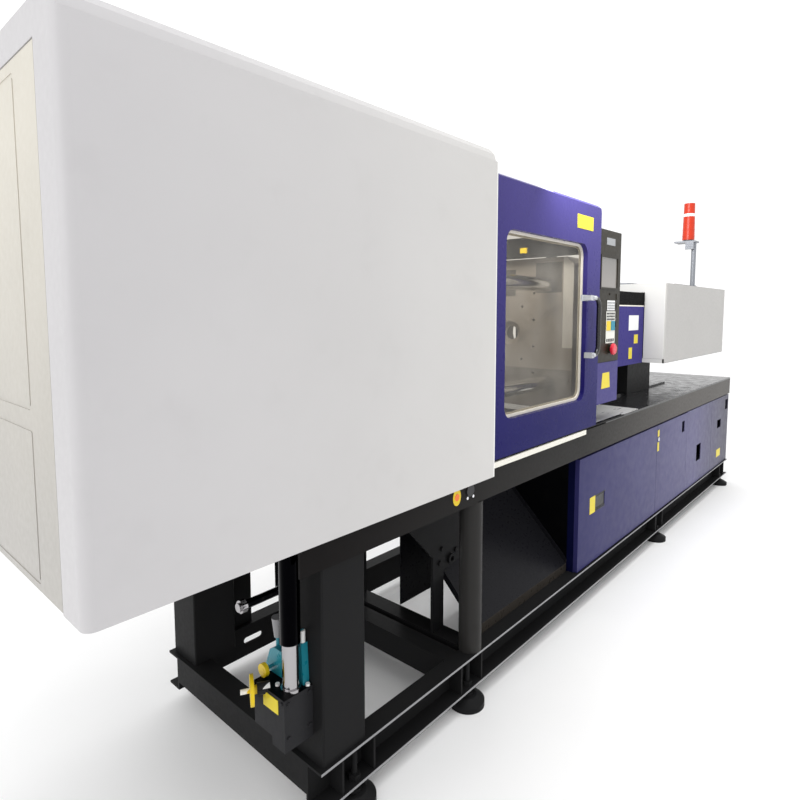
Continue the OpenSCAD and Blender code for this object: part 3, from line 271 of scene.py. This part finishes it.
panel_paint = finish(
    "panel_paint", (0.028, 0.027, 0.104), 0.36, gloss=0.15, ior=1.3, dirt=0.04, grain=20.0, bump=0.02,
    # Lighter from the left end towards the middle, a little darker and greyer again at the right end:
    # painted light
    fades=[(ALONG, 2300, 4200, (0.115, 0.110, 0.21)), (ALONG, 4300, 5200, (0.080, 0.078, 0.110))],
    zones=[
        # Left end of the cabinet, darkened as painted shade: its front strip, then the rest
        zone((0.003, 0.004, 0.028), x=CABINET_LEFT, y=(None, -388)),
        zone(BLACK, x=CABINET_LEFT, y=(-388, None))])

# Doors and covers
door_paint = finish(
    "door_paint", (0.006, 0.005, 0.088), 0.28, gloss=0.15, ior=1.3, dirt=0.02, grain=20.0, bump=0.01,
    # Lighter towards the top, darker towards the bottom: painted light
    fades=[(UP, 1000, 2026, (0.058, 0.047, 0.198))],
    # Left part of the top edge of the front door, which is lit
    zones=[zone((0.62, 0.60, 0.76), x=(None, 1900), y=(None, -458), z=(2021, None))])
cover_paint = finish(
    "cover_paint", (0.50, 0.49, 0.50), 0.42, gloss=0.4, dirt=0.03, vary=0.04, bump=0.03,
    # Lighter towards the door end: painted light
    fades=[(ALONG, 0, 1432, (0.57, 0.56, 0.545))],
    # Rim beside the door, painted near white as a painted highlight
    zones=[zone((0.86, 0.86, 0.84), x=(1427, None))])
unit_paint = finish(
    "unit_paint", UNIT_WHITE, 0.4, gloss=0.4, dirt=0.05, vary=0.05, bump=0.03,
    # Left end, painted lighter as painted light from the left
    zones=[zone(UNIT_END_PAINTED_LIGHT, x=(None, 3706))])
end_paint = finish(
    "end_paint", (0.38, 0.365, 0.34), 0.42, dirt=0.06, vary=0.08,
    # Lighter towards the top: painted light
    fades=[(UP, 1000, 1900, (0.56, 0.53, 0.46))])
seal_rubber = finish("seal_rubber", (0.70, 0.66, 0.58), 0.5, dirt=0.08)
grip_plastic = finish(
    "grip_plastic", (0.006, 0.006, 0.007), 0.22, gloss=0.5, coat=0.1, dirt=0.05,
    # Bright brackets of the handle
    zones=[zone((0.42, 0.43, 0.45), x=(None, 2262))])
track_paint = finish("track_paint", BLACK, 0.35, gloss=0.15, ior=1.3, dirt=0.3, soil=SOOT)
sill_metal = finish("sill_metal", (0.80, 0.78, 0.70), 0.3, metal=0.3, dirt=0.15, stretch=(0.05, 1, 1))
window_glass = clear("window_glass", (0.76, 0.74, 0.70), 0.03)

# Clamp and injection unit
casting = finish(
    "casting", (0.32, 0.285, 0.245), 0.5, metal=0.1, dirt=0.4, bump=0.2,
    zones=[
        # Seen through the window on the fixed platen: two dark patches, the light edge
        # towards the door and the dim lower part
        zone(HOUSING, x=PLATEN_FACE, y=(-298, -149), z=(1612, 1766)),
        zone(HOUSING, x=PLATEN_FACE, y=(-29, 32), z=(1597, 1738)),
        zone((0.66, 0.63, 0.57), x=PLATEN_FACE, y=(None, -305), z=(1330, None)),
        zone((0.19, 0.17, 0.15), x=PLATEN_FACE, z=(None, 1216))])
ground_steel = finish(
    "ground_steel", (0.72, 0.73, 0.75), 0.16, metal=1.0, dirt=0.1, stretch=(0.05, 1, 1))
link_steel = finish("link_steel", (0.30, 0.31, 0.33), 0.35, metal=0.8, dirt=0.4)
hydraulic = finish("hydraulic", (0.10, 0.12, 0.15), 0.4, dirt=0.35, bump=0.1)
barrel_metal = finish("barrel_metal", (0.35, 0.32, 0.28), 0.35, metal=0.8, dirt=0.5)
guard_paint = finish(
    "guard_paint", (0.050, 0.042, 0.19), 0.3, gloss=0.1, ior=1.15, dirt=0.05,
    # Light line, then the black band above it
    zones=[zone(CREAM, z=(1549.5, 1557.5)), zone(BLACK, z=(1557.5, None))])
stand_paint = finish("stand_paint", (0.19, 0.20, 0.22), 0.34, metal=0.2, dirt=0.1)
lamp_lens = finish(
    "lamp_lens", (0.46, 0.030, 0.008), 0.3, gloss=0.3, dirt=0.02, glow=0.06,
    # White ring, then the foot
    zones=[zone(WHITE, z=(2244, 2265)), zone((0.1, 0.1, 0.1), z=(None, 2067))])

# Controls
control_paint = finish(
    "control_paint", CONTROL_GREY, 0.42, gloss=0.2, ior=1.4, dirt=0.1, bump=0.08,
    # Blue lower part
    zones=[zone((0.050, 0.042, 0.18), z=(None, 1251))])
panel_face = finish(
    "panel_face", CONTROL_GREY, 0.34, gloss=0.2, ior=1.4, dirt=0.05,
    zones=[
        # Key field, then the strip below it
        zone(WHITE, x=(2543.5, 2644.5), y=(None, -446.5), z=(1520, 1573)),
        zone((0.74, 0.74, 0.68), x=(2534.5, 2653.5), y=(None, -446.5), z=(1348, 1516))])
screen_glass = finish(
    "screen_glass", (0.20, 0.185, 0.17), 0.1, gloss=0.5, coat=0.2, dirt=0.02, glow=0.08,
    fades=[(UP, 1638, 1792, (0.12, 0.115, 0.105))])
yellow_plastic = finish("yellow_plastic", YELLOW, 0.4, gloss=0.3, dirt=0.05)
teal_plastic = finish("teal_plastic", (0.01, 0.22, 0.32), 0.4, gloss=0.3, dirt=0.05)
red_plastic = finish("red_plastic", (0.62, 0.006, 0.03), 0.25, coat=0.3, dirt=0.03)

# Lubrication unit
chrome = finish(
    "chrome", (0.42, 0.41, 0.42), 0.1, metal=1.0, dirt=0.1, stretch=(6, 6, 0.1),
    # Sleeve of the upright tube, then the pipe behind the leg, painted black as painted shade
    zones=[zone(BLACK, y=(None, -300), z=(580.5, None)), zone(BLACK, x=(655, None), y=(-30, None))])
teal_paint = finish(
    "teal_paint", (0.012, 0.20, 0.26), 0.3, coat=0.1, dirt=0.3, soil=SOOT,
    zones=[
        # Cap, fitting and small knob of the pump
        zone((0.24, 0.24, 0.25), y=(-300, None), z=(545.5, None)),
        zone(WHITE, y=(None, -370), z=(561, None)),
        zone(YELLOW, x=(None, 550.5))])
knob_plastic = finish(
    "knob_plastic", YELLOW, 0.4, gloss=0.3, dirt=0.2,
    # Outer end and side of the stem
    zones=[zone(WHITE, x=(None, 466)), zone(WHITE, x=(None, 487.6), y=(-281, None), z=(424.9, 439.1))])

# Plates, marks and lamps
plate_print = finish("plate_print", PLATE_YELLOW, 0.4, gloss=0.3, dirt=0.05)
orange_mark = finish("orange_mark", ORANGE, 0.3, dirt=0.05)
white_print = finish("white_print", WHITE, 0.35, dirt=0.04)
dark_print = finish("dark_print", (0.02, 0.02, 0.022), 0.35, gloss=0.3, dirt=0.1)
grey_print = finish("grey_print", (0.25, 0.26, 0.27), 0.35, dirt=0.1)
light_strip = finish("light_strip", (0.95, 0.96, 1.0), 0.4, dirt=0.0, glow=3.0)

COATS = {
    frame_paint: ["base_frame", "left_legs", "inner_supports",
                  "leveling_feet", "door_header", "injection_carriage"],
    block_paint: ["lube_block"],
    chute_paint: ["discharge_chute"],
    beam_paint: ["upper_frame"],
    column_paint: ["support_columns"],
    table_paint: ["table_top"],
    bright_plate: ["table_plate"],
    panel_paint: ["cabinet_shell", "cabinet_door_wide", "cabinet_door_narrow"],
    door_paint: ["front_door", "rear_door"],
    cover_paint: ["clamp_cover"],
    unit_paint: ["injection_cover"],
    end_paint: ["end_panels"],
    casting: ["fixed_platen", "moving_platen", "rear_platen"],
    ground_steel: ["tie_bars", "ejector_rod", "screw", "cabinet_lock"],
    dark_print: ["door_latch"],
    link_steel: ["upper_rear_link", "upper_front_link", "upper_drive_link", "lower_rear_link",
                 "lower_front_link", "lower_drive_link", "crosshead"],
    hydraulic: ["oil_tank", "pump_motor", "clamp_cylinder", "screw_drive"],
    seal_rubber: ["front_seal"],
    grip_plastic: ["front_handle", "rear_handle"],
    track_paint: ["door_tracks"],
    sill_metal: ["door_sills"],
    control_paint: ["control_box"],
    panel_face: ["control_panel"],
    screen_glass: ["screen"],
    yellow_plastic: ["yellow_key"],
    teal_plastic: ["teal_key"],
    red_plastic: ["estop_button"],
    barrel_metal: ["barrel"],
    guard_paint: ["purge_guard"],
    stand_paint: ["tower_stand", "hopper_throat"],
    lamp_lens: ["tower_lamp"],
    chrome: ["oil_pipes"],
    teal_paint: ["lube_pump"],
    knob_plastic: ["lube_knob"],
    window_glass: ["front_window", "rear_window"],
}


def coat_piece(obj, material):
    obj.data.materials.clear()
    obj.data.materials.append(material)


for material, names in COATS.items():
    for name in names:
        coat_piece(NODES[name], material)

# Added pieces

BLOCK_SOFT = 0.4
OUTLINE_SOFT = 0.3
KEY_SOFT = 0.3


def solid(name, verts, faces, soft, material, body):
    """A piece with its edges softened by soft mm, which moves with a body."""
    mesh = bpy.data.meshes.new(name)
    mesh.from_pydata(verts, [], faces)
    mesh.update()
    obj = bpy.data.objects.new(name, mesh)
    bpy.context.scene.collection.objects.link(obj)
    bevel = obj.modifiers.new("soft", "BEVEL")
    bevel.width = soft / 1000
    bevel.segments = 2
    bevel.limit_method = "ANGLE"
    bpy.context.view_layer.objects.active = obj
    bpy.ops.object.select_all(action="DESELECT")
    obj.select_set(True)
    bpy.ops.object.modifier_apply(modifier=bevel.name)
    coat_piece(obj, material)
    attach(obj, body)


def block(name, x, y, z, material, body, soft=BLOCK_SOFT):
    """A box that fills three spans in machine coordinates."""
    verts = [tuple(point(px, py, pz)) for px in x for py in y for pz in z]
    faces = [(0, 1, 3, 2), (4, 6, 7, 5), (0, 4, 5, 1), (2, 3, 7, 6), (0, 2, 6, 4), (1, 5, 7, 3)]
    solid(name, verts, faces, soft, material, body)


def outline(name, corners, y, material, body, soft=OUTLINE_SOFT):
    """A flat outline in X and Z, made solid over a span of Y."""
    n = len(corners)
    verts = [tuple(point(cx, py, cz)) for py in y for cx, cz in corners]
    faces = [tuple(range(n)), tuple(reversed(range(n, 2 * n)))]
    faces += [(k, (k + 1) % n, (k + 1) % n + n, k + n)[::-1] for k in range(n)]
    solid(name, verts, faces, soft, material, body)


def disc(name, x, z, y, d, material, body, sides=32, wide=1.0):
    """A disc that faces the operator side; wide stretches it along X."""
    corners = [(x + d / 2 * wide * math.cos(2 * math.pi * k / sides),
                z + d / 2 * math.sin(2 * math.pi * k / sides)) for k in range(sides)]
    outline(name, corners, y, material, body, BLOCK_SOFT)


# Spans of Y that the plates fill, and the faces that carry marks and keys
CABINET_PLATE = (-446.2, -444.6)
LOCK_PLATE = (-446.0, -444.7)
DOOR_PLATE = (-471.2, -469.6)
GUARD_PLATE = (-234.4, -232.8)
GUARD_TAG = (-234.2, -232.8)
BEAM_FACE = -450.6
MARK_FACE = -452.0
PANEL_FACE = -446.6

# Plain plates where the machine carries labels
block("door_plate", (2122, 2293), DOOR_PLATE, (1896, 1959), plate_print, "front_door")
block("panel_plate", (2521, 2628), CABINET_PLATE, (1856, 1892), grey_print, "machine")
outline("box_plate", [(2499, 1113), (2610, 1113), (2598, 1195), (2511, 1195)], CABINET_PLATE,
        plate_print, "machine")
block("latch_plate_left", (2399, 2465), CABINET_PLATE, (468, 556), plate_print, "wide_door")
block("latch_plate_top", (2466, 2594), CABINET_PLATE, (551, 556), dark_print, "wide_door")
block("latch_plate_bottom", (2466, 2594), CABINET_PLATE, (468, 473), dark_print, "wide_door")
block("lock_plate", (3424, 3456), LOCK_PLATE, (612, 670), plate_print, "narrow_door")
block("lock_plate_top", (3424, 3456), LOCK_PLATE, (708, 750), plate_print, "narrow_door")
block("end_plate_yellow", (4951, 5074), CABINET_PLATE, (277, 341), plate_print, "machine")

# Round mark and socket on the front beam
MARK_PLACE = (1241, 849)
SOCKET_X = 1321
SOCKET_Z = 857
disc("beam_mark", *MARK_PLACE, (-452.4, BEAM_FACE), 62, yellow_plastic, "machine", wide=0.75)
disc("beam_mark_middle", *MARK_PLACE, (-453.4, MARK_FACE), 26, orange_mark, "machine")
disc("beam_socket", SOCKET_X, SOCKET_Z, (-456.0, BEAM_FACE), 46, dark_print, "machine")
for k, (dx, dz) in enumerate([(-18, 26), (18, 26), (-18, -26), (18, -26)]):
    disc(f"beam_bolt_{k}", SOCKET_X + dx, SOCKET_Z + dz, (-455.0, BEAM_FACE), 13, ground_steel,
         "machine", sides=6)

# Plates on the guard, the lubrication block and the injection cover, and two lamps
block("guard_plate", (3429, 3603), GUARD_PLATE, (1390, 1490), white_print, "guard")
block("guard_tag_a", (3530, 3600), GUARD_TAG, (1300, 1360), plate_print, "guard")
block("guard_tag_b", (3440, 3500), GUARD_TAG, (1200, 1275), plate_print, "guard")
block("lube_plate", (516.4, 518.3), (-371, -301), (386, 428), plate_print, "machine")
block("post_plate", (3930, 4450), (-368, -330), (1707.6, 1712), dark_print, "carriage")
block("bar_lamp", (2268, 2279), (-125, -88), (1815, 1842), yellow_plastic, "machine")
block("lamp_strip", (1480, 2300), (-404, -392), (1966, 1990), light_strip, "machine")


def key(name, x, z, wide, high, front, material):
    """One flat key or print on the control panel, from its lower left corner."""
    block(name, (x, x + wide), (front, PANEL_FACE), (z, z + high), material, "machine", KEY_SOFT)


# Keys and prints of the control panel
KEY_ROWS = 3
KEY_COLUMNS = 6
FIELD_FRONT = -447.6
STRIP_FRONT = -447.8
for row in range(KEY_ROWS):
    for column in range(KEY_COLUMNS):
        key(f"panel_key_{row}_{column}", 2548 + column * 16, 1526 + row * 14.5, 12, 10.5,
            FIELD_FRONT, grey_print)
for row in range(KEY_ROWS):
    for column in range(KEY_COLUMNS):
        key(f"strip_key_{row}_{column}", 2541 + column * 18, 1469 + row * 15, 14, 10,
            STRIP_FRONT, dark_print)
for column in range(5):
    key(f"low_key_{column}", 2543 + column * 21, 1356, 15, 16, STRIP_FRONT, dark_print)

# Stage and light

FLOOR_SIZE = 60
WORLD_STRENGTH = 1.15
# Name, place, aim, size and power in watts
LIGHTS = [
    ("soft_top", (-0.5, -1.0, 5.2), (-0.3, 0.0, 1.0), (6.0, 4.0), 60),
    ("soft_left", (-6.5, 0.5, 2.4), (-2.0, 0.2, 1.3), (4.0, 3.0), 40),
    ("soft_unit", (-0.5, -0.3, 2.6), (1.06, -0.1, 1.5), (1.2, 1.2), 45),
]

bpy.ops.mesh.primitive_plane_add(size=FLOOR_SIZE, location=(0, 0, 0))
floor = bpy.context.object
floor.name = "stage_floor"
floor.data.materials.append(finish("floor_white", (0.95, 0.95, 0.95), 0.6, gloss=0.2, dirt=0.0, vary=0.02))

world = bpy.data.worlds.new("studio")
bpy.context.scene.world = world
world.use_nodes = True
set_inputs(world.node_tree.nodes["Background"],
           {"Color": (1.0, 1.0, 1.0, 1.0), "Strength": WORLD_STRENGTH})
bpy.context.scene.view_settings.view_transform = "Standard"

for name, place, aim, size, power in LIGHTS:
    data = bpy.data.lights.new(name, "AREA")
    data.shape = "RECTANGLE"
    data.size, data.size_y = size
    data.energy = power
    lamp = bpy.data.objects.new(name, data)
    lamp.location = place
    lamp.rotation_euler = (Vector(aim) - Vector(place)).to_track_quat("-Z", "Y").to_euler()
    bpy.context.scene.collection.objects.link(lamp)

# Camera at the photograph's viewpoint
CAMERA_PLACE = (-3.0245, -1.6426, 1.5106)
CAMERA_TILT = 85.06
CAMERA_TURN = -48.56

camera_data = bpy.data.cameras.new("camera")
camera = bpy.data.objects.new("camera", camera_data)
camera.location = CAMERA_PLACE
camera.rotation_euler = (math.radians(CAMERA_TILT), 0.0, math.radians(CAMERA_TURN))
camera_data.sensor_width = 36.0
camera_data.lens = 25.72
camera_data.shift_x = -0.0097
camera_data.shift_y = -0.0479
camera_data.clip_start = 0.05
bpy.context.scene.collection.objects.link(camera)
bpy.context.scene.camera = camera
